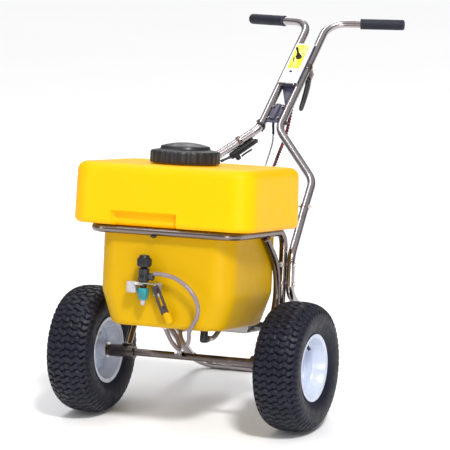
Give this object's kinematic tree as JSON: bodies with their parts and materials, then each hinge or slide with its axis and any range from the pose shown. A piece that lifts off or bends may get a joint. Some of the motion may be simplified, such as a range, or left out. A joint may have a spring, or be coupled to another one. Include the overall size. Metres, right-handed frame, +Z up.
{
  "type": "walk-behind liquid sprayer",
  "caption": "Walk-behind liquid sprayer: a moulded yellow tank with screw cap on a bent tube frame with wheels, stand, twin handle, nozzle with hose and spray gun.",
  "frame": {"origin": "middle of the bounding box at floor level, with the machine parked on its wheels and stand", "axes": "+Z up, -Y forward (the nozzle side), +Y towards the handle and the person pushing, +X to the left hand of that person"},
  "size_m": [0.704, 1.188, 0.914],
  "materials": {
    "stainless": "satin stainless tube and sheet",
    "bright_steel": "bright stainless",
    "zinc": "zinc plated",
    "tank_yellow": "rotomoulded polyethylene, satin",
    "cap_black": "moulded, satin",
    "black_plastic": "moulded",
    "rubber": "soft",
    "tyre": "dull, with turf tread",
    "grip": "soft vinyl",
    "rim_white": "gloss white",
    "bronze": "sintered bronze",
    "clear_hose": "clear vinyl",
    "grey_hose": "grey vinyl",
    "teal_plastic": "moulded",
    "white_plastic": "moulded",
    "label_yellow": "printed film",
    "cable": "sleeve",
    "red_cable": "insulated wire"
  },
  "bodies": {
    "chassis": {"rail_frame": "stainless", "stand_frame": "stainless", "axle_leg_left": "stainless", "axle_leg_right": "stainless", "handle_tube_left": "stainless", "grip_left": "grip", "handle_tube_right": "stainless", "grip_right": "grip", "frame_bolts_left": "zinc", "frame_bolts_right": "zinc", "axle": "stainless", "bearing_sleeve_left": "stainless", "bearing_sleeve_right": "stainless", "tank_shell": "tank_yellow", "drain_elbow": "black_plastic", "drain_hose": "grey_hose", "equipment_shelf": "stainless", "battery_box": "black_plastic", "battery": "black_plastic", "pump_head": "black_plastic", "pump_motor": "black_plastic", "nozzle_strap": "stainless", "strap_bolt": "zinc", "nozzle_bracket": "stainless", "bracket_end_block": "white_plastic", "tank_rest": "stainless", "valve_body": "black_plastic", "nozzle_hose": "clear_hose", "bypass_hose": "clear_hose", "control_panel": "bright_steel", "panel_label": "label_yellow", "switch_box": "black_plastic", "handle_bracket": "stainless", "lever_bracket": "black_plastic", "gun_body": "black_plastic", "gun_wand": "bright_steel", "gun_clip": "black_plastic", "gun_hose": "rubber", "control_cable": "cable", "power_cable": "red_cable", "axle_cap_left": "rim_white", "axle_cap_right": "rim_white"},
    "left_wheel": {"tyre_left": "tyre", "rim_left": "rim_white", "valve_stem_left": "rubber", "hub_bush_left": "bronze"},
    "right_wheel": {"tyre_right": "tyre", "rim_right": "rim_white", "valve_stem_right": "rubber", "hub_bush_right": "bronze"},
    "cap_seal": {"cap_gasket": "rubber"},
    "cap": {"tank_cap": "cap_black"},
    "toggle": {"toggle_lever": "black_plastic"},
    "knob": {"valve_knob": "black_plastic"},
    "nozzle": {"nozzle_cap": "teal_plastic", "nozzle_tip": "white_plastic"},
    "trigger": {"gun_trigger": "black_plastic"},
    "lever": {"control_lever": "black_plastic"},
    "lid": {"battery_lid": "black_plastic"}
  },
  "joints": [
    {"name": "left_wheel_spin", "type": "hinge", "parent": "chassis", "child": "left_wheel", "pos_m": [-0.291, -0.37338, 0.1665], "axis": [1, 0, 0], "continuous": true},
    {"name": "right_wheel_spin", "type": "hinge", "parent": "chassis", "child": "right_wheel", "pos_m": [0.291, -0.37338, 0.1665], "axis": [1, 0, 0], "continuous": true},
    {"name": "cap_lift", "type": "slide", "parent": "chassis", "child": "cap_seal", "axis": [0, 0.1702, 0.9854], "range_m": [0, 0.15]},
    {"name": "cap_turn", "type": "hinge", "parent": "cap_seal", "child": "cap", "pos_m": [0, -0.38175, 0.6997], "axis": [0, 0.1702, 0.9854], "range_deg": [0, 270]},
    {"name": "toggle_throw", "type": "hinge", "parent": "chassis", "child": "toggle", "pos_m": [0, 0.37209, 0.83204], "axis": [1, 0, 0], "range_deg": [0, 22]},
    {"name": "knob_turn", "type": "hinge", "parent": "chassis", "child": "knob", "pos_m": [-0.036, -0.57482, 0.41034], "axis": [0, 0.1702, 0.9854], "range_deg": [0, 90]},
    {"name": "nozzle_turn", "type": "hinge", "parent": "chassis", "child": "nozzle", "pos_m": [-0.036, -0.58094, 0.37487], "axis": [0, 0.1702, 0.9854], "range_deg": [0, 90]},
    {"name": "trigger_pull", "type": "hinge", "parent": "chassis", "child": "trigger", "pos_m": [-0.06191, 0.1202, 0.59948], "axis": [0.5906, -0.7952, 0.1374], "range_deg": [0, 6], "stiffness_Nm_per_rad": 0.2, "springref_deg": -5.73},
    {"name": "lever_pull", "type": "hinge", "parent": "chassis", "child": "lever", "pos_m": [0.028, 0.37405, 0.78054], "axis": [-1, 0, 0], "range_deg": [0, 18], "stiffness_Nm_per_rad": 0.8, "springref_deg": -8.59},
    {"name": "lid_open", "type": "hinge", "parent": "chassis", "child": "lid", "pos_m": [-0.095, -0.10288, 0.35014], "axis": [-1, 0, 0], "range_deg": [0, 105]}
  ]
}
